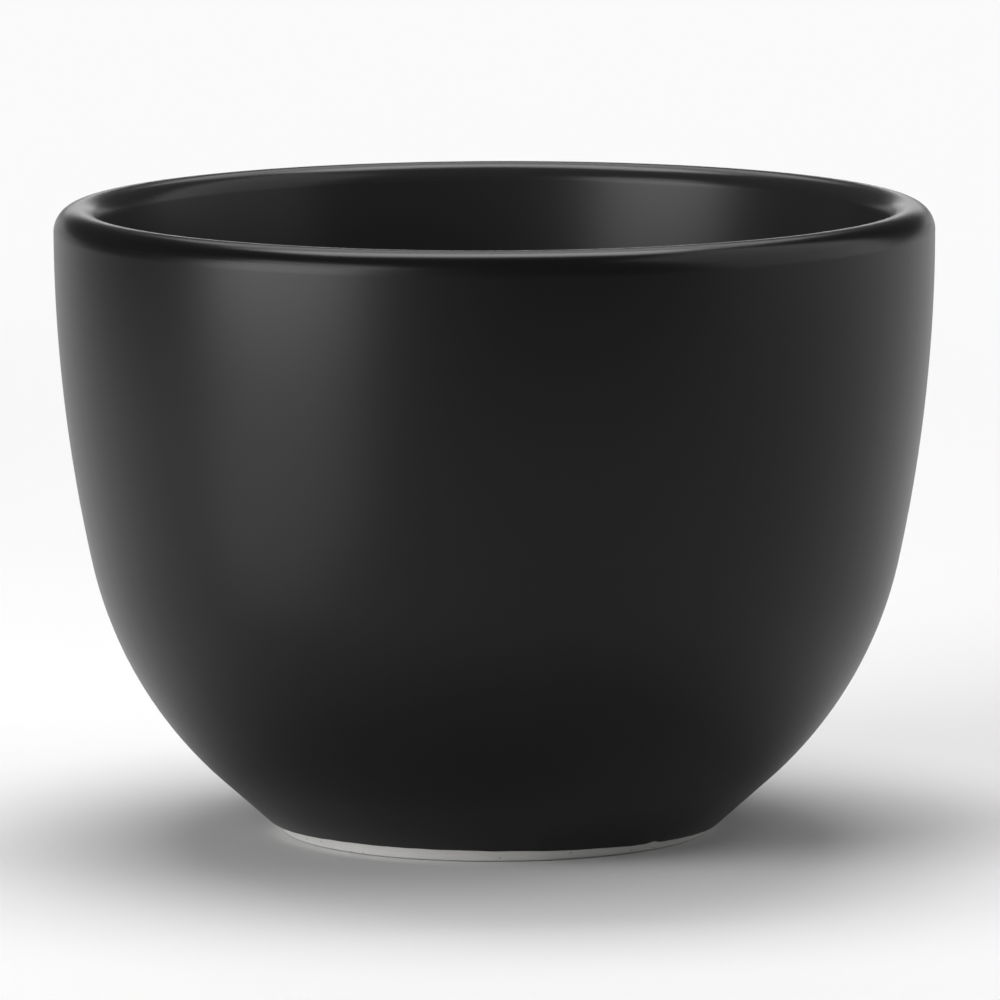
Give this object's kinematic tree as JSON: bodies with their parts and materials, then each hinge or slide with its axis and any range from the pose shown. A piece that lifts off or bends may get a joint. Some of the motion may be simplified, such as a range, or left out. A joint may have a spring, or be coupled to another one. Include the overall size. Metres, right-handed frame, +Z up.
{
  "type": "bouillon cup",
  "caption": "Round handleless bouillon cup: black satin-glazed stoneware with a rounded lip, a full belly and a small bare foot ring, for broth or soup.",
  "frame": {"origin": "centre of the foot ring, on the surface that the cup stands on", "axes": "+Z up along the cup's axis, through the middle of the mouth; the cup is round, so X and Y are free"},
  "size_m": [0.098, 0.098, 0.07],
  "materials": {
    "bare_clay": "unglazed, fine-grained, wiped",
    "outside_glaze": "satin",
    "inside_glaze": "satin"
  },
  "bodies": {
    "root": {"clay_body": "bare_clay", "outer_glaze": "outside_glaze", "liner_glaze": "inside_glaze", "well_glaze": "outside_glaze"}
  },
  "joints": []
}
